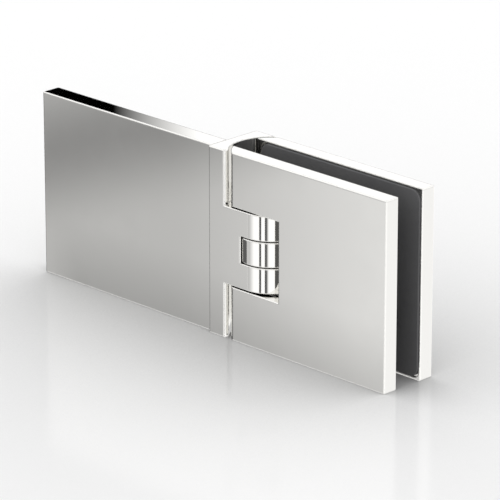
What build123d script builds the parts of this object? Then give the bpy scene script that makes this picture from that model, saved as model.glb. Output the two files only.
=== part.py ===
from build123d import *
import math
import os

# Glass door hinge: a wall plate and block carry two knuckles, and a glass clamp turns between them.
# Frame: the origin is the middle of the whole hinge's base. +X runs from the wall plate to the
# clamp's free end, -Y is the show face and +Z is up. All sizes are in millimetres.

# Overall sizes
plate_height = 70.0
body_depth = 24.0
wall_plate_length = 88.0
strip_width = 8.0
clamp_reach = 66.2
edge_break = 0.3

# Pivot
tongue_height = 29.0
window_height = 10.0
seam_gap = 0.35
knuckle_running_gap = 0.4
heel_overhang = 2.3
relief_gap = 1.05
corner_land = 1.72
corner_round = 0.8
pin_diameter = 8.0
pin_running_clearance = 0.04
pin_seat_clearance = 0.02
pin_end_wall = 2.5
pin_recess = 0.5
pin_chamfer = 0.5
bush_wall = 1.5
bush_length = 4.2
washer_thickness = 0.3
washer_diameter = 16.0

# Wall plate: a flange on the block, under a tray-shaped cover
wall_plate_depth = 7.5
wall_plate_setback = 1.5
cover_wall = 1.5
cover_clearance = 0.2
wall_screw_spacing_x = 56.0
wall_screw_spacing_z = 40.0
wall_screw_hole = 5.5
wall_screw_head = 10.5
countersink_angle = 90.0
cover_screw_spacing = 56.0

# Clamp
clamp_plate_thickness = 6.0
notch_end_gap = 3.0
notch_gap = 0.5
rim_width = 0.7
pocket_depth = 0.7
pocket_corner = 2.5
gasket_thickness = 1.2
gasket_corner = 4.0
gasket_clearance = 0.15
gasket_heel = 2.0
gasket_edge = 0.25

# Pivot block between the clamp plates
neck_thickness = 7.0
core_gap = 0.3
core_width = 20.7
core_height = 42.0
core_round = 2.0
core_clearance = 0.3
sleeve_wall = 1.0
sleeve_gap = 0.2
cutout_margin = 1.0

# Fasteners
grub_diameter = 4.0
grub_socket = 2.0
grub_socket_depth = 1.8
grub_clearance = 0.05
grub_recess = 0.3
grub_hole_clearance = 0.2
clamp_screw_diameter = 6.0
clamp_screw_head = 11.3
clamp_screw_socket = 4.0
clamp_socket_depth = 2.2
clamp_screw_spacing = 32.0
block_screw_diameter = 5.0
block_screw_head = 8.5
block_head_height = 5.0
block_screw_socket = 4.0
block_socket_depth = 2.5
block_screw_spacing = 12.0
screw_clearance = 0.2
head_clearance = 0.15
thread_clearance = 0.05
head_recess = 0.2
thread_depth = 4.0
thread_tip_gap = 0.3
dowel_diameter = 4.0
dowel_length = 9.0
dowel_hole_depth = 4.0
dowel_spacing = 22.0
dowel_edge_distance = 4.0
dowel_clearance = 0.02
dowel_chamfer = 0.4

# How near an edge must be to count as lying on a face
touch = 1e-4

# What follows from the sizes above
front_face = -body_depth / 2
back_face = body_depth / 2
knuckle_radius = body_depth / 2
clamp_end_radius = knuckle_radius + heel_overhang
relief_radius = clamp_end_radius + relief_gap
block_corner = math.sqrt(relief_radius**2 - (knuckle_radius - corner_land) ** 2)
wall_reach = block_corner + strip_width + wall_plate_length
pivot_x = (wall_reach + clamp_reach) / 2 - clamp_reach
seam_x = -block_corner - strip_width
cover_front = front_face + wall_plate_setback
wall_face = cover_front + wall_plate_depth
flange_front = cover_front + cover_wall
flange_thickness = wall_face - flange_front
flange_margin = cover_wall + cover_clearance
flange_middle = seam_x - wall_plate_length / 2

middle_z = plate_height / 2
tongue_bottom = middle_z - tongue_height / 2
window_bottom = middle_z - window_height / 2
window_top = middle_z + window_height / 2
tongue_top = middle_z + tongue_height / 2
window_radius = knuckle_radius + knuckle_running_gap
knuckle_height = window_height - 2 * seam_gap
knuckle_bottom = middle_z - knuckle_height / 2
knuckle_top = middle_z + knuckle_height / 2
pin_radius = pin_diameter / 2
pin_bore_radius = pin_radius + pin_seat_clearance
pin_bottom = tongue_bottom + pin_recess
pin_bore_top = tongue_top - pin_end_wall
bush_bore_radius = pin_radius + pin_running_clearance
bush_radius = bush_bore_radius + bush_wall

notch_height = tongue_height + 2 * notch_gap
notch_reach = knuckle_radius + notch_end_gap
inner_front = front_face + clamp_plate_thickness
inner_back = back_face - clamp_plate_thickness
plate_middle_y = (front_face + inner_front) / 2
core_left = notch_reach + core_clearance
core_right = core_left + core_width
core_middle = (core_left + core_right) / 2
core_back = inner_back - core_gap
core_depth = core_back - inner_front
sleeve_depth = 2 * (inner_back - gasket_thickness + pocket_depth - sleeve_gap)

gasket_inset = rim_width + gasket_clearance
clamp_heel = math.sqrt(clamp_end_radius**2 - inner_back**2)
gasket_left = -clamp_heel + gasket_heel
gasket_right = clamp_reach - gasket_inset
cutout_right = core_right + sleeve_wall + cutout_margin
cutout_height = core_height + 2 * (sleeve_wall + cutout_margin)

clamp_screw_points = [(core_middle, middle_z + side * clamp_screw_spacing / 2) for side in (-1, 1)]
block_screw_points = [(core_middle, middle_z + side * block_screw_spacing / 2) for side in (-1, 1)]
dowel_points = [(core_right - dowel_edge_distance, middle_z + side * dowel_spacing / 2) for side in (-1, 1)]
pin_grub_heights = [(tongue_bottom + window_bottom) / 2, (window_top + pin_bore_top) / 2]
cover_grub_xs = [flange_middle + side * cover_screw_spacing / 2 for side in (-1, 1)]
flange_middle_y = (flange_front + wall_face) / 2


def level(z):
    """A horizontal plane at height z, with its origin on the pivot axis."""
    return Plane.XY.offset(z).shift_origin((pivot_x, 0, z))


def elevation(y):
    """An upright plane seen from the front: x runs along the hinge, y is the height above the base."""
    return Plane(origin=(pivot_x, y, 0), x_dir=(1, 0, 0), z_dir=(0, -1, 0))


def on_plane_y(edge, y):
    """Whether an edge lies wholly in the upright plane at y."""
    box = edge.bounding_box()
    return abs(box.min.Y - y) < touch and abs(box.max.Y - y) < touch


def on_level(edge, z):
    """Whether an edge lies wholly at height z."""
    box = edge.bounding_box()
    return abs(box.min.Z - z) < touch and abs(box.max.Z - z) < touch


def at_x(edge, x):
    """Whether an edge lies wholly at x, measured from the pivot axis."""
    box = edge.bounding_box()
    return abs(box.min.X - pivot_x - x) < touch and abs(box.max.X - pivot_x - x) < touch


def draw_clamp_plate():
    """Plan of the front clamp plate: its heel is an arc about the pivot axis."""
    Circle(clamp_end_radius)
    with Locations((0, plate_middle_y)):
        Rectangle(2 * clamp_end_radius, clamp_plate_thickness, mode=Mode.INTERSECT)
        Rectangle(clamp_reach, clamp_plate_thickness, align=(Align.MIN, Align.CENTER))


def draw_notch():
    """The opening in a clamp plate's heel, which the tongue fills."""
    with Locations((notch_reach, middle_z)):
        Rectangle(2 * clamp_reach, notch_height, align=(Align.MAX, Align.CENTER))


def draw_gasket(clearance, corner):
    """Outline of a gasket, or of its pocket, with the cut-out round the pivot block."""
    left = gasket_left - clearance
    right = gasket_right + clearance
    height = plate_height - 2 * gasket_inset + 2 * clearance
    with Locations(((left + right) / 2, middle_z)):
        RectangleRounded(right - left, height, corner)
    with Locations((cutout_right - clearance, middle_z)):
        cutout = cutout_height - 2 * clearance
        Rectangle(2 * clamp_reach, cutout, align=(Align.MAX, Align.CENTER), mode=Mode.SUBTRACT)


# Wall body: block, tongue with its two knuckles, and the flange that is screwed to the wall
with BuildPart() as wall_body:
    with BuildSketch(level(0)):
        with Locations((seam_x, 0)):
            Rectangle(-seam_x, body_depth, align=(Align.MIN, Align.CENTER))
        Circle(relief_radius, mode=Mode.SUBTRACT)
        with Locations((-block_corner, 0)):
            Rectangle(block_corner, body_depth, align=(Align.MIN, Align.MAX), mode=Mode.SUBTRACT)
    extrude(amount=plate_height)
    with BuildSketch(level(tongue_bottom)):
        Circle(knuckle_radius)
        Rectangle(block_corner + strip_width / 2, body_depth, align=(Align.MAX, Align.CENTER))
    extrude(amount=tongue_height)
    with BuildSketch(level(window_bottom)):
        Circle(window_radius)
    extrude(amount=window_height, mode=Mode.SUBTRACT)
    corner_edges = [e for e in wall_body.edges().filter_by(Axis.Z)
                    if at_x(e, -block_corner) and on_plane_y(e, front_face)]
    fillet(corner_edges, corner_round)
    rims = [e for e in wall_body.edges().filter_by(GeomType.CIRCLE)
            if abs(e.radius - knuckle_radius) < touch]
    show_edges = [e for e in wall_body.edges() if on_plane_y(e, front_face) or on_plane_y(e, back_face)]
    chamfer(rims + show_edges, edge_break)
    with BuildSketch(elevation(wall_face)):
        with Locations((seam_x, middle_z)):
            flange_length = wall_plate_length - flange_margin
            flange_height = plate_height - 2 * flange_margin
            Rectangle(flange_length, flange_height, align=(Align.MAX, Align.CENTER))
    extrude(amount=flange_thickness)
    with BuildSketch(level(tongue_bottom)):
        Circle(pin_bore_radius)
    extrude(amount=pin_bore_top - tongue_bottom, mode=Mode.SUBTRACT)
    with BuildSketch(elevation(back_face)):
        with Locations(*[(0, z) for z in pin_grub_heights]):
            Circle(grub_diameter / 2 + grub_clearance)
    extrude(amount=back_face, mode=Mode.SUBTRACT)
    with Locations(elevation(flange_front)):
        with Locations((flange_middle, middle_z)):
            with GridLocations(wall_screw_spacing_x, wall_screw_spacing_z, 2, 2):
                CounterSinkHole(wall_screw_hole / 2, wall_screw_head / 2,
                                flange_thickness, countersink_angle)
    with BuildSketch(level(0)):
        with Locations(*[(x, flange_middle_y) for x in cover_grub_xs]):
            Circle(grub_diameter / 2 + grub_clearance)
    extrude(amount=flange_margin + grub_diameter, mode=Mode.SUBTRACT)
wall_body.part.label = "wall_body"

# Wall cover: a tray that hides the flange and its screws and stops against the block
with BuildPart() as wall_cover:
    with BuildSketch(elevation(wall_face)):
        with Locations((seam_x, 0)):
            Rectangle(wall_plate_length, plate_height, align=(Align.MAX, Align.MIN))
    extrude(amount=wall_plate_depth)
    outer_edges = [e for e in wall_cover.edges()
                   if on_plane_y(e, cover_front) or at_x(e, seam_x - wall_plate_length)]
    chamfer(outer_edges, edge_break)
    with BuildSketch(elevation(wall_face)):
        with Locations((seam_x, middle_z)):
            tray_height = plate_height - 2 * cover_wall
            Rectangle(wall_plate_length - cover_wall, tray_height, align=(Align.MAX, Align.CENTER))
    extrude(amount=flange_thickness, mode=Mode.SUBTRACT)
    with BuildSketch(level(0)):
        with Locations(*[(x, flange_middle_y) for x in cover_grub_xs]):
            Circle(grub_diameter / 2 + grub_hole_clearance)
    extrude(amount=cover_wall, mode=Mode.SUBTRACT)
wall_cover.part.label = "wall_cover"

# Grub screws: two lock the cover from below, two lock the pivot pin from behind
with BuildPart() as cover_grub_screws:
    with BuildSketch(level(grub_recess)):
        with Locations(*[(x, flange_middle_y) for x in cover_grub_xs]):
            Circle(grub_diameter / 2)
    extrude(amount=flange_margin + grub_diameter - grub_recess)
    with BuildSketch(level(grub_recess)):
        with Locations(*[(x, flange_middle_y) for x in cover_grub_xs]):
            RegularPolygon(grub_socket / 2, 6, major_radius=False)
    extrude(amount=grub_socket_depth, mode=Mode.SUBTRACT)
cover_grub_screws.part.label = "cover_grub_screws"

with BuildPart() as pin_grub_screws:
    with BuildSketch(elevation(back_face - grub_recess)):
        with Locations(*[(0, z) for z in pin_grub_heights]):
            Circle(grub_diameter / 2)
    extrude(amount=back_face - grub_recess - pin_bore_radius)
    with BuildSketch(elevation(back_face - grub_recess)):
        with Locations(*[(0, z) for z in pin_grub_heights]):
            RegularPolygon(grub_socket / 2, 6, major_radius=False)
    extrude(amount=grub_socket_depth, mode=Mode.SUBTRACT)
pin_grub_screws.part.label = "pin_grub_screws"

# Pivot pin: held in both outer knuckles, with chamfered ends
with BuildPart() as pivot_pin:
    with BuildSketch(level(pin_bottom)):
        Circle(pin_radius)
    extrude(amount=pin_bore_top - pin_bottom)
    chamfer(pivot_pin.edges().filter_by(GeomType.CIRCLE), pin_chamfer)
pivot_pin.part.label = "pivot_pin"

# Thrust washers: one fills the lower seam and one the upper
with BuildPart() as lower_washer:
    with BuildSketch(level(window_bottom)):
        Circle(washer_diameter / 2)
        Circle(bush_bore_radius, mode=Mode.SUBTRACT)
    extrude(amount=washer_thickness)
lower_washer.part.label = "lower_washer"

with BuildPart() as upper_washer:
    with BuildSketch(level(knuckle_top)):
        Circle(washer_diameter / 2)
        Circle(bush_bore_radius, mode=Mode.SUBTRACT)
    extrude(amount=washer_thickness)
upper_washer.part.label = "upper_washer"

# Pivot block: the middle knuckle, a neck, and the core that both clamp plates are screwed to
with BuildPart() as pivot_block:
    with BuildSketch(elevation(core_back)):
        with Locations((core_middle, middle_z)):
            RectangleRounded(core_width, core_height, core_round)
    extrude(amount=core_depth)
    with BuildSketch(level(knuckle_bottom)):
        Rectangle(core_middle, neck_thickness, align=(Align.MIN, Align.CENTER))
        Circle(knuckle_radius)
    extrude(amount=knuckle_height)
    rims = [e for e in pivot_block.edges().filter_by(GeomType.CIRCLE)
            if abs(e.radius - knuckle_radius) < touch]
    chamfer([e for e in rims if on_level(e, knuckle_bottom) or on_level(e, knuckle_top)], edge_break)
    with BuildSketch(level(knuckle_bottom)):
        Circle(bush_radius)
    extrude(amount=knuckle_height, mode=Mode.SUBTRACT)
    with BuildSketch(elevation(core_back)):
        with Locations(*clamp_screw_points):
            Circle(clamp_screw_diameter / 2 + screw_clearance)
        with Locations(*block_screw_points):
            Circle(block_screw_diameter / 2 + screw_clearance)
        with Locations(*dowel_points):
            Circle(dowel_diameter / 2 + dowel_clearance)
    extrude(amount=core_depth, mode=Mode.SUBTRACT)
    with BuildSketch(elevation(core_back)):
        with Locations(*block_screw_points):
            Circle(block_screw_head / 2 + head_clearance)
    extrude(amount=block_head_height + head_recess, mode=Mode.SUBTRACT)
pivot_block.part.label = "pivot_block"

# Bushes: pressed into the middle knuckle from both ends
with BuildPart() as lower_bush:
    with BuildSketch(level(knuckle_bottom)):
        Circle(bush_radius)
        Circle(bush_bore_radius, mode=Mode.SUBTRACT)
    extrude(amount=bush_length)
lower_bush.part.label = "lower_bush"

with BuildPart() as upper_bush:
    with BuildSketch(level(knuckle_top)):
        Circle(bush_radius)
        Circle(bush_bore_radius, mode=Mode.SUBTRACT)
    extrude(amount=-bush_length)
upper_bush.part.label = "upper_bush"

# Front clamp plate: a plain show face, with blind threads behind it
with BuildPart() as front_plate:
    with BuildSketch(level(0)):
        draw_clamp_plate()
    extrude(amount=plate_height)
    with BuildSketch(elevation(inner_front)):
        draw_notch()
    extrude(amount=clamp_plate_thickness, mode=Mode.SUBTRACT)
    show_edges = [e for e in front_plate.edges() if on_plane_y(e, front_face) or at_x(e, clamp_reach)]
    chamfer(show_edges, edge_break)
    with BuildSketch(elevation(inner_front)):
        draw_gasket(gasket_clearance, pocket_corner)
    extrude(amount=pocket_depth, mode=Mode.SUBTRACT)
    with BuildSketch(elevation(inner_front)):
        with Locations(*clamp_screw_points):
            Circle(clamp_screw_diameter / 2 + thread_clearance)
        with Locations(*block_screw_points):
            Circle(block_screw_diameter / 2 + thread_clearance)
    extrude(amount=thread_depth + thread_tip_gap, mode=Mode.SUBTRACT)
front_plate.part.label = "front_plate"

# Back clamp plate: the same plate turned round, with the clamp screws' countersinks and dowel holes
with BuildPart() as back_plate:
    with BuildSketch(level(0)):
        draw_clamp_plate()
    extrude(amount=plate_height)
    mirror(about=Plane.XZ, mode=Mode.REPLACE)
    with BuildSketch(elevation(back_face)):
        draw_notch()
    extrude(amount=clamp_plate_thickness, mode=Mode.SUBTRACT)
    show_edges = [e for e in back_plate.edges() if on_plane_y(e, back_face) or at_x(e, clamp_reach)]
    chamfer(show_edges, edge_break)
    with BuildSketch(elevation(inner_back)):
        draw_gasket(gasket_clearance, pocket_corner)
    extrude(amount=-pocket_depth, mode=Mode.SUBTRACT)
    with BuildSketch(elevation(back_face)):
        with Locations(*clamp_screw_points):
            Circle(clamp_screw_diameter / 2 + screw_clearance)
    extrude(amount=clamp_plate_thickness, mode=Mode.SUBTRACT)
    with BuildSketch(elevation(back_face)):
        with Locations(*clamp_screw_points):
            Circle(clamp_screw_head / 2 + head_clearance)
    extrude(amount=head_recess, mode=Mode.SUBTRACT)
    with BuildSketch(elevation(back_face - head_recess)):
        with Locations(*clamp_screw_points):
            Circle(clamp_screw_head / 2 + head_clearance)
    extrude(amount=clamp_screw_head / 2, taper=countersink_angle / 2, mode=Mode.SUBTRACT)
    with BuildSketch(elevation(inner_back)):
        with Locations(*dowel_points):
            Circle(dowel_diameter / 2 + dowel_clearance)
    extrude(amount=-dowel_hole_depth, mode=Mode.SUBTRACT)
back_plate.part.label = "back_plate"

# Gaskets: die-cut sheets in the plates' pockets, standing proud to grip the glass
with BuildPart() as front_gasket:
    with BuildSketch(elevation(inner_front - pocket_depth)):
        draw_gasket(0, gasket_corner)
    extrude(amount=-gasket_thickness)
    glass_side = inner_front - pocket_depth + gasket_thickness
    chamfer([e for e in front_gasket.edges() if on_plane_y(e, glass_side)], gasket_edge)
front_gasket.part.label = "front_gasket"

with BuildPart() as back_gasket:
    with BuildSketch(elevation(inner_back + pocket_depth)):
        draw_gasket(0, gasket_corner)
    extrude(amount=gasket_thickness)
    glass_side = inner_back + pocket_depth - gasket_thickness
    chamfer([e for e in back_gasket.edges() if on_plane_y(e, glass_side)], gasket_edge)
back_gasket.part.label = "back_gasket"

# Core sleeve: a plastic band that keeps the glass off the metal core, open towards the pivot
with BuildPart() as core_sleeve:
    with BuildSketch(elevation(sleeve_depth / 2)):
        with Locations((core_middle, middle_z)):
            sleeve_size = (core_width + 2 * sleeve_wall, core_height + 2 * sleeve_wall)
            RectangleRounded(*sleeve_size, core_round + sleeve_wall)
            RectangleRounded(core_width, core_height, core_round, mode=Mode.SUBTRACT)
        with Locations((core_left + core_round, middle_z)):
            Rectangle(core_width, plate_height, align=(Align.MAX, Align.CENTER), mode=Mode.SUBTRACT)
    extrude(amount=sleeve_depth)
core_sleeve.part.label = "core_sleeve"

# Block screws: cap screws that hold the pivot block on the front plate
with BuildPart() as block_screws:
    with BuildSketch(elevation(core_back - head_recess)):
        with Locations(*block_screw_points):
            Circle(block_screw_head / 2)
    extrude(amount=block_head_height)
    with BuildSketch(elevation(core_back - head_recess - block_head_height)):
        with Locations(*block_screw_points):
            Circle(block_screw_diameter / 2)
    extrude(amount=core_depth - head_recess - block_head_height + thread_depth)
    with BuildSketch(elevation(core_back - head_recess)):
        with Locations(*block_screw_points):
            RegularPolygon(block_screw_socket / 2, 6, major_radius=False)
    extrude(amount=block_socket_depth, mode=Mode.SUBTRACT)
block_screws.part.label = "block_screws"

# Clamp screws: countersunk screws that draw the back plate towards the front plate
with BuildPart() as clamp_screws:
    with BuildSketch(elevation(back_face - head_recess)):
        with Locations(*clamp_screw_points):
            Circle(clamp_screw_diameter / 2)
    extrude(amount=back_face - head_recess - inner_front + thread_depth)
    with BuildSketch(elevation(back_face - head_recess)):
        with Locations(*clamp_screw_points):
            Circle(clamp_screw_head / 2)
    extrude(amount=(clamp_screw_head - clamp_screw_diameter) / 2, taper=countersink_angle / 2)
    with BuildSketch(elevation(back_face - head_recess)):
        with Locations(*clamp_screw_points):
            RegularPolygon(clamp_screw_socket / 2, 6, major_radius=False)
    extrude(amount=clamp_socket_depth, mode=Mode.SUBTRACT)
clamp_screws.part.label = "clamp_screws"

# Guide dowels: pressed in the core, they line up the back plate
with BuildPart() as guide_dowels:
    with BuildSketch(elevation(inner_back + dowel_hole_depth - thread_tip_gap)):
        with Locations(*dowel_points):
            Circle(dowel_diameter / 2)
    extrude(amount=dowel_length)
    chamfer(guide_dowels.edges().filter_by(GeomType.CIRCLE), dowel_chamfer)
guide_dowels.part.label = "guide_dowels"

os.makedirs("parts", exist_ok=True)
for node in (wall_body, wall_cover, cover_grub_screws, pin_grub_screws, pivot_pin, lower_washer,
             upper_washer, pivot_block, lower_bush, upper_bush, front_plate, back_plate, front_gasket, back_gasket,
             core_sleeve, block_screws, clamp_screws, guide_dowels):
    export_step(node.part, f"parts/{node.part.label}.step")
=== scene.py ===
# %% [markdown]
# # A glass door hinge in polished chrome
# The hinge has two halves. The long plate is fixed to the wall, and the clamp grips a glass door.
# Between them three knuckles turn on a pin. Nearly all that shows is polished chrome, so the lesson
# is mostly about light: a mirror has no look of its own, only that of the room round it. Sizes in
# the text and in named values are in millimetres, unless they say otherwise.

# %% Load the solid model
import bpy, math
from mathutils import Matrix, Vector


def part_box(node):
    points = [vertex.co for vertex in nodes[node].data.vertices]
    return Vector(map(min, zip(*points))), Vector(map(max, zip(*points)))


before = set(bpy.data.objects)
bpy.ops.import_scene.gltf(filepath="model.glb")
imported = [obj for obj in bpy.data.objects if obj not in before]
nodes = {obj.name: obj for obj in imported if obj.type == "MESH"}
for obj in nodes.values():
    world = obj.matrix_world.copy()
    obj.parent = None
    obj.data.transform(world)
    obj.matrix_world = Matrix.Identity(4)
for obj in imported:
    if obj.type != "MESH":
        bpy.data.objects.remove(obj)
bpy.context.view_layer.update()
millimetre = 0.001

# %% [markdown]
# ## Small tools
# Colours are written as the hex codes of a colour chart. Blender works in linear light, so one
# function converts them. A second function adds a shader node, sets its sockets and wires its
# inputs, so that each material reads as a short list of what the surface is made of.

# %% Colour and node helpers
def linear(hex_code, alpha=1.0):
    """Turns an sRGB hex colour into the linear colour that Blender's sockets take."""
    channels = [int(hex_code[i:i + 2], 16) / 255 for i in (1, 3, 5)]
    return tuple(c / 12.92 if c <= 0.04045 else ((c + 0.055) / 1.055) ** 2.4 for c in channels) + (alpha,)


def add(tree, kind, settings=None, **inputs):
    """Adds one node. An input is a plain value, or an output socket to link from."""
    node = tree.nodes.new(kind)
    for name, value in (settings or {}).items():
        setattr(node, name, value)
    for name, value in inputs.items():
        key = int(name[1:]) if name[1:].isdigit() else name.replace("_", " ")
        if isinstance(value, bpy.types.NodeSocket):
            tree.links.new(value, node.inputs[key])
        else:
            node.inputs[key].default_value = value
    return node


def new_material(name):
    """Makes a node material with one Principled shader, and returns it with its tree and shader."""
    material = bpy.data.materials.new(name)
    material.use_nodes = True
    tree = material.node_tree
    tree.nodes.clear()
    shader = add(tree, "ShaderNodeBsdfPrincipled")
    add(tree, "ShaderNodeOutputMaterial", Surface=shader.outputs[0])
    return material, tree, shader


def per_metre(size_mm):
    """How many features of this size, in millimetres, fit in one metre."""
    return 1 / (size_mm * millimetre)


print("mid grey in linear light:", round(linear("#808080")[0], 3))

# %% [markdown]
# ## Polished chrome plate
# The plates, the block and the knuckles are machined brass, buffed to a mirror, then plated with
# bright nickel and a very thin chrome layer. The mirror is almost neutral, with a trace of the
# nickel's warmth. A plain chrome mirror returns some 60 percent of the light, but the deep gaps here
# stay bright after three bounces, so the finish is set to a brighter 84 percent. Buffing leaves a
# haze that varies over some 10 mm, and a waviness too shallow to feel. Both are faint, but without
# them the metal looks like glass. It also rounds every sharp edge a little, so an edge mirrors a thin
# slice of the whole room: a dark or bright hairline.

# %% Chrome material
chrome_colour = "#EDECE9"
haze_size, wave_size, wave_depth, edge_softness = 9, 14, 0.003, 0.55

chrome, tree, shader = new_material("polished_chrome_plate")
shader.inputs["Base Color"].default_value = linear(chrome_colour)
shader.inputs["Metallic"].default_value = 1.0
place = add(tree, "ShaderNodeTexCoord").outputs["Object"]
haze = add(tree, "ShaderNodeTexNoise", Vector=place, Scale=per_metre(haze_size), Detail=3.0,
           Roughness=0.6)
buffing = add(tree, "ShaderNodeMapRange", Value=haze.outputs["Fac"], From_Min=0.3, From_Max=0.7,
              To_Min=0.02, To_Max=0.045)
tree.links.new(buffing.outputs[0], shader.inputs["Roughness"])
waves = add(tree, "ShaderNodeTexNoise", Vector=place, Scale=per_metre(wave_size), Detail=1.0)
soft_edges = add(tree, "ShaderNodeBevel", {"samples": 6}, Radius=edge_softness * millimetre)
relief = add(tree, "ShaderNodeBump", Distance=wave_depth * millimetre, Height=waves.outputs["Fac"],
             Normal=soft_edges.outputs[0])
tree.links.new(relief.outputs[0], shader.inputs["Normal"])
print("chrome reflects", [round(c, 3) for c in linear(chrome_colour)[:3]])

# %% [markdown]
# ## Turned stainless steel
# The pin, dowels and screws are turned on a lathe: a grey steel whose highlight is broad and streaked,
# because the tool leaves fine rings. Real rings are some 0.05 mm apart. Here they are 0.3 mm apart,
# the finest that still shows. The screws come in pairs, so folding space about the middle of a pair
# puts both centres in one place, and one ring pattern serves both.

# %% Steel material
ring_pitch, ring_depth, wear_size = 0.3, 0.008, 2
rings_per_scale = 20 / math.tau


def turned_steel(piece, across, fold):
    """Stainless steel with lathe rings. Across and fold name the two axes that the rings lie in."""
    material, tree, shader = new_material("turned_stainless_" + piece)
    low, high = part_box(piece)
    middle, size = (low + high) / 2, high - low
    shader.inputs["Base Color"].default_value = linear("#C6C4C1")
    shader.inputs["Metallic"].default_value = 1.0
    place = add(tree, "ShaderNodeTexCoord").outputs["Object"]
    parts = add(tree, "ShaderNodeSeparateXYZ", Vector=place)
    side = add(tree, "ShaderNodeMath", {"operation": "SUBTRACT"},
               _0=parts.outputs[across], _1=middle[across])
    along = add(tree, "ShaderNodeMath", {"operation": "SUBTRACT"},
                _0=parts.outputs[fold], _1=middle[fold])
    folded = add(tree, "ShaderNodeMath", {"operation": "ABSOLUTE"}, _0=along.outputs[0])
    half_pitch = (size[fold] - size[across]) / 2
    out = add(tree, "ShaderNodeMath", {"operation": "SUBTRACT"}, _0=folded.outputs[0], _1=half_pitch)
    centred = add(tree, "ShaderNodeCombineXYZ", X=side.outputs[0], Y=out.outputs[0])
    rings = add(tree, "ShaderNodeTexWave", {"wave_type": "RINGS", "rings_direction": "SPHERICAL"},
                Vector=centred.outputs[0], Scale=per_metre(ring_pitch) / rings_per_scale)
    grooves = add(tree, "ShaderNodeBump", Strength=0.6, Distance=ring_depth * millimetre,
                  Height=rings.outputs["Fac"])
    tree.links.new(grooves.outputs[0], shader.inputs["Normal"])
    wear = add(tree, "ShaderNodeTexNoise", Vector=place, Scale=per_metre(wear_size))
    spread = add(tree, "ShaderNodeMapRange", Value=wear.outputs["Fac"], To_Min=0.16, To_Max=0.32)
    tree.links.new(spread.outputs[0], shader.inputs["Roughness"])
    return material


X, Y, Z = range(3)
across_pieces = ("clamp_screws", "block_screws", "pin_grub_screws", "guide_dowels")
upright_pieces = ("cover_grub_screws", "pivot_pin")
finishes = {piece: turned_steel(piece, X, Z) for piece in across_pieces}
finishes.update({piece: turned_steel(piece, Y, X) for piece in upright_pieces})
print("steel pieces:", ", ".join(finishes))

# %% [markdown]
# ## Rubber, plastics and bronze
# The gaskets are die-cut from matt rubber sheet, whose face has a fine pebble. The thrust washers are
# black acetal, waxy and a little glossy. The sleeve round the core is natural nylon, milky, so that
# light goes a little way in. The bushes are sintered bronze, brown metal full of oil pores. Each has
# a colour that wanders slightly, a roughness, and a relief at its own grain size.

# %% Gasket, washer, sleeve and bush materials
cloud_size = 12


def grained(name, dark, light, grain_mm, depth_mm, roughness, metallic=0.0, ior=1.5, milky_mm=0.0):
    """A colour that wanders between two shades, over a relief of one grain size."""
    material, tree, shader = new_material(name)
    shader.inputs["Metallic"].default_value = metallic
    shader.inputs["Roughness"].default_value = roughness
    if not metallic:
        shader.inputs["IOR"].default_value = ior
    if milky_mm:
        shader.inputs["Subsurface Weight"].default_value = 0.5
        shader.inputs["Subsurface Radius"].default_value = (milky_mm * millimetre,) * 3
    place = add(tree, "ShaderNodeTexCoord").outputs["Object"]
    cloud = add(tree, "ShaderNodeTexNoise", Vector=place, Scale=per_metre(cloud_size), Detail=4.0,
                Roughness=0.65)
    shade = add(tree, "ShaderNodeMix", {"data_type": "RGBA"}, _0=cloud.outputs["Fac"],
                _6=linear(dark), _7=linear(light))
    tree.links.new(shade.outputs[2], shader.inputs["Base Color"])
    grain = add(tree, "ShaderNodeTexVoronoi", {"feature": "SMOOTH_F1"}, Vector=place,
                Scale=per_metre(grain_mm), Smoothness=0.6)
    relief = add(tree, "ShaderNodeBump", Strength=0.6, Distance=depth_mm * millimetre,
                 Height=grain.outputs["Distance"])
    tree.links.new(relief.outputs[0], shader.inputs["Normal"])
    return material


rubber = grained("calendered_rubber_sheet", "#59595A", "#686869", 0.5, 0.05, 0.72, ior=1.52)
acetal = grained("black_acetal", "#101011", "#18181A", 0.8, 0.004, 0.34, ior=1.48)
nylon = grained("natural_nylon", "#D6D2C6", "#E2DFD5", 1.2, 0.006, 0.42, ior=1.53, milky_mm=1.0)
bronze = grained("sintered_bronze", "#93714A", "#A98659", 0.25, 0.02, 0.4, metallic=1.0)
print("made", rubber.name, acetal.name, nylon.name, bronze.name)

# %% [markdown]
# ## Dress the solids
# The solid model already has the real outline, edges and clearances, so its pieces stay and only
# their finish changes.

# %% Give each piece its finish
groups = {
    chrome: ("wall_body", "wall_cover", "pivot_block", "front_plate", "back_plate"),
    rubber: ("front_gasket", "back_gasket"),
    acetal: ("lower_washer", "upper_washer"),
    nylon: ("core_sleeve",),
    bronze: ("lower_bush", "upper_bush"),
}
for material, pieces in groups.items():
    finishes.update({piece: material for piece in pieces})
for piece, material in finishes.items():
    for slot in nodes[piece].material_slots:
        slot.material = material
print("pieces without a finish:", sorted(set(nodes) - set(finishes)))

# %% [markdown]
# ## Floor
# The hinge stands on a white floor with a soft polish. It takes the broad shadow that an even white
# room leaves round any object, and shows a faint mirror image. A mirror standing on it throws light
# back into its own shadow, so painted shade is added to the floor's colour: it is darkened by how
# much of the room each spot can see. The metal doesn't see the floor itself but the room's lower
# half, which is painted to suit.

# %% Floor
floor_size, painted_shade_reach = 6.0, 0.5
floor_colour, deepest_painted_shade = "#FDFDFD", 0.48

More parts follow.
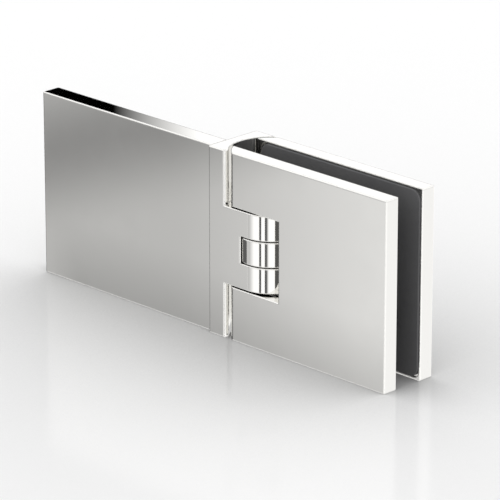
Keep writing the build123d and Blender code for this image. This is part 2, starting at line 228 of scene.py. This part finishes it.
bpy.ops.mesh.primitive_plane_add(size=floor_size)
floor = bpy.context.object
floor.name = "studio_floor"
floor.visible_glossy = False
floor_paint, tree, shader = new_material("white_studio_floor")
# Painted shade: an ambient-occlusion node mixes the floor's colour towards black where less of the room
# is open, down to the deepest painted level.
open_view = add(tree, "ShaderNodeAmbientOcclusion", {"samples": 8}, Distance=painted_shade_reach).outputs["AO"]
painted_shade_level = add(tree, "ShaderNodeMapRange", Value=open_view, From_Min=0.4, To_Min=deepest_painted_shade, To_Max=1.0)
shade = add(tree, "ShaderNodeMix", {"data_type": "RGBA"}, _0=painted_shade_level.outputs[0],
            _6=linear("#000000"), _7=linear(floor_colour))
tree.links.new(shade.outputs[2], shader.inputs["Base Color"])
shader.inputs["Roughness"].default_value = 0.12
shader.inputs["IOR"].default_value = 1.2
floor.data.materials.append(floor_paint)
print("floor side in m:", floor_size)

# %% [markdown]
# ## The room
# Polished metal is lit by what it mirrors. Round the hinge stand white cards and thin dark flags,
# and each is painted here on the world by its compass direction, because a card far away looks the
# same from every spot on a small object. Bearing 0 is straight out of the show face, and a positive
# one is towards the clamp. The metal alone sees the cards. The rubber, the plastics and the floor get
# plain even light, and the camera sees plain white.

# %% World: directions and painting tools
world = bpy.data.worlds.new("white_room")
bpy.context.scene.world = world
world.use_nodes = True
tree = world.node_tree
tree.nodes.clear()


def maths(operation, first, second=0.0):
    """One arithmetic step between numbers or sockets."""
    return add(tree, "ShaderNodeMath", {"operation": operation}, _0=first, _1=second).outputs[0]


def step(value, start, end):
    """0 on one side of start, 1 on the other side of end, and smooth between."""
    limits = {"From_Min": start, "From_Max": end, "To_Min": 0.0, "To_Max": 1.0}
    if start > end:
        limits = {"From_Min": end, "From_Max": start, "To_Min": 1.0, "To_Max": 0.0}
    smooth = {"interpolation_type": "SMOOTHSTEP"}
    return add(tree, "ShaderNodeMapRange", smooth, Value=value, **limits).outputs[0]


def band(value, low, high, low_blur, high_blur):
    """1 between low and high, with an edge blur on each side."""
    return maths("MULTIPLY", step(value, low - low_blur / 2, low + low_blur / 2),
                 step(value, high + high_blur / 2, high - high_blur / 2))


def ramp(value, start, end, start_level, end_level):
    """A straight run of light from one level to another."""
    return add(tree, "ShaderNodeMapRange", Value=value, From_Min=start, From_Max=end,
               To_Min=start_level, To_Max=end_level).outputs[0]


def paint(below, level, mask):
    """Paints one level of light over the room where the mask is 1."""
    return add(tree, "ShaderNodeMix", {"data_type": "FLOAT"}, _0=mask, _2=below, _3=level).outputs[0]


sides = add(tree, "ShaderNodeSeparateXYZ", Vector=add(tree, "ShaderNodeTexCoord").outputs["Generated"])
forward = maths("MULTIPLY", sides.outputs[Y], -1.0)
bearing = maths("DEGREES", maths("ARCTAN2", sides.outputs[X], forward))
height = maths("DEGREES", maths("ARCSINE", sides.outputs[Z]))
print("world tools ready")

# %% [markdown]
# ## Cards and flags
# From the camera's side the two show faces mirror a narrow slice of the room at bearing -45. A grey
# card there runs from dark to light, which gives the wall plate its sweep of grey, and a soft darker
# bar crosses it. Further left the room is dark, so the rounded left edges draw thin dark lines. In
# front, two narrow flags draw the dark lines that make the knuckles read as round. Above and below the
# cards the room is a softer grey that swells and fades round the compass, so the hinge still looks
# like metal from other sides.

# %% Cards and flags
white, soft_white, end_card_level = 1.22, 0.95, 1.07
dark_level, first_flag_level, second_flag_level = 0.12, 0.06, 0.1
card_left, card_right = -48.2, -43.0

room = maths("MAXIMUM", 0.62, ramp(bearing, card_right, -18.0, 0.4, white))
dark_left = maths("MULTIPLY", band(bearing, -128, -49.2, 12, 1.0), band(height, -34, 12, 6, 8))
room = paint(room, dark_level, dark_left)

face_card = maths("MAXIMUM", ramp(bearing, card_left, -45.8, 0.45, 0.59),
                  ramp(bearing, -46.0, card_right, 0.57, 0.86))
bar_line = maths("ADD", height, maths("MULTIPLY", maths("ADD", bearing, 45.0), -0.207))
bar = maths("MULTIPLY", step(bar_line, -18.9, -17.55), step(bar_line, -16.2, -17.55))
face_card = maths("MULTIPLY", face_card, ramp(bar, 0.0, 1.0, 1.0, 0.54))
foot_line = maths("ADD", height, maths("MULTIPLY", maths("ADD", bearing, 45.0), 0.341))
foot = maths("MULTIPLY", ramp(foot_line, -20.97, -20.05, 0.28, 0.0), step(bearing, card_left, -47.6))
face_card = maths("MULTIPLY", face_card, maths("SUBTRACT", 1.0, foot))
room = paint(room, face_card, band(bearing, -48.7, -42.75, 0.8, 0.3))

room = paint(room, first_flag_level, band(bearing, 1.9, 8.9, 3.0, 3.0))
room = paint(room, second_flag_level, band(bearing, 21.6, 31.5, 0.8, 10.0))
room = paint(room, end_card_level, band(bearing, 118, 150, 12, 12))

swell = maths("SINE", maths("MULTIPLY", bearing, math.tau / 120))
grey_sweep = maths("ADD", 0.7, maths("MULTIPLY", swell, 0.12))
off_level = maths("MAXIMUM", step(height, -17.0, -13.5), step(height, -22.8, -27.0))
room = maths("MULTIPLY", room, paint(1.0, grey_sweep, off_level))
print("cards painted")

# %% [markdown]
# ## Ceiling and ground
# Above, all is white, so the top faces shine, and it dims a little overhead. Only a strip over the
# back left corner is dark: the floor's polish mirrors it, and against it the hinge's mirror image
# shows light. Steeply below, the room is as pale as the floor.

# %% Ceiling, ground and the rays that see each
room = paint(room, white, step(height, 8.0, 15.0))
room = paint(room, soft_white, step(height, 48.0, 60.0))
room = paint(room, soft_white, step(height, -33.0, -37.0))
strip = maths("MULTIPLY", band(bearing, -152, -118, 4, 4), band(height, 20.2, 31, 1.2, 3))
room = paint(room, second_flag_level, strip)

ray = add(tree, "ShaderNodeLightPath")
for_metal = add(tree, "ShaderNodeEmission", Color=linear("#FFFFFF"), Strength=room)
even = add(tree, "ShaderNodeEmission", Color=linear("#FFFFFF"), Strength=1.0)
seen_white = add(tree, "ShaderNodeEmission", Color=linear("#FCFCFC"), Strength=1.0)
lit = add(tree, "ShaderNodeMixShader", _0=ray.outputs["Is Glossy Ray"],
          _1=even.outputs[0], _2=for_metal.outputs[0])
seen = add(tree, "ShaderNodeMixShader", _0=ray.outputs["Is Camera Ray"],
           _1=lit.outputs[0], _2=seen_white.outputs[0])
add(tree, "ShaderNodeOutputWorld", Surface=seen.outputs[0])
print("world nodes:", len(tree.nodes))

# %% [markdown]
# ## Black flag
# The top edge of the wall plate is black at its far left and fades to white towards the block. That
# change happens over 80 mm of one flat face, which a distant card can't do. So one black flag hangs
# close behind the hinge, where only this part of the edge mirrors it. Its right end is thin cloth
# that lets more and more light through.

# %% Black flag
flag_centre = Vector((-250, 214, 161)) * millimetre
flag_width, flag_height = 120 * millimetre, 60 * millimetre
flag_facing = Vector((0.665, -0.667, -0.336)).normalized()
flag_across = Vector((1, 1, 0)).normalized()
flag_up = flag_facing.cross(flag_across)
bpy.ops.mesh.primitive_plane_add(size=1.0)
flag = bpy.context.object
flag.name = "black_flag"
flag.matrix_world = Matrix.Translation(flag_centre) @ Matrix(
    (flag_across * flag_width, flag_up * flag_height, flag_facing)).transposed().to_4x4()
for ray_kind in ("camera", "diffuse", "transmission", "shadow"):
    setattr(flag, "visible_" + ray_kind, False)
cloth = bpy.data.materials.new("black_cloth")
cloth.use_nodes = True
tree = cloth.node_tree
tree.nodes.clear()
place = add(tree, "ShaderNodeTexCoord").outputs["Generated"]
across = add(tree, "ShaderNodeSeparateXYZ", Vector=place).outputs[X]
cloth_ends, air_begins = 0.274, 0.584
thin = add(tree, "ShaderNodeMapRange", Value=across, From_Min=cloth_ends, From_Max=air_begins)
solid = add(tree, "ShaderNodeEmission", Color=linear("#000000"))
clear = add(tree, "ShaderNodeBsdfTransparent")
mixed = add(tree, "ShaderNodeMixShader", _0=thin.outputs[0], _1=solid.outputs[0], _2=clear.outputs[0])
add(tree, "ShaderNodeOutputMaterial", Surface=mixed.outputs[0])
flag.data.materials.append(cloth)
print("flag centre in mm:", [round(c / millimetre) for c in flag_centre])

# %% [markdown]
# ## Camera
# The photograph was taken with a long lens from the hinge's right front, a little above it. The
# camera stands at that angle, and its distance and lens make the hinge as large as it is there.

# %% Camera
view_turn, view_tilt = math.radians(45.013), math.radians(19.631)
view_distance = 1424.53 * millimetre
look_at = Vector((20.6, -1.889, 35.0)) * millimetre
sidestep, rise = -6.2925 * millimetre, -1.494 * millimetre
camera_data = bpy.data.cameras.new("long_lens")
camera = bpy.data.objects.new("camera", camera_data)
bpy.context.scene.collection.objects.link(camera)
backward = Vector((math.sin(view_turn) * math.cos(view_tilt),
                   -math.cos(view_turn) * math.cos(view_tilt), math.sin(view_tilt)))
rightward = Vector((math.cos(view_turn), math.sin(view_turn), 0))
upward = backward.cross(rightward)
stand = look_at + rightward * sidestep + upward * rise + backward * view_distance
camera.matrix_world = Matrix.Translation(stand) @ Matrix(
    (rightward, upward, backward)).transposed().to_4x4()
camera_data.sensor_width = 36.0
camera_data.lens = 291.336
camera_data.clip_start, camera_data.clip_end = 0.05, 20.0
bpy.context.scene.camera = camera
bpy.context.scene.view_settings.view_transform = "Standard"
print("camera stands at", [round(c, 3) for c in stand])
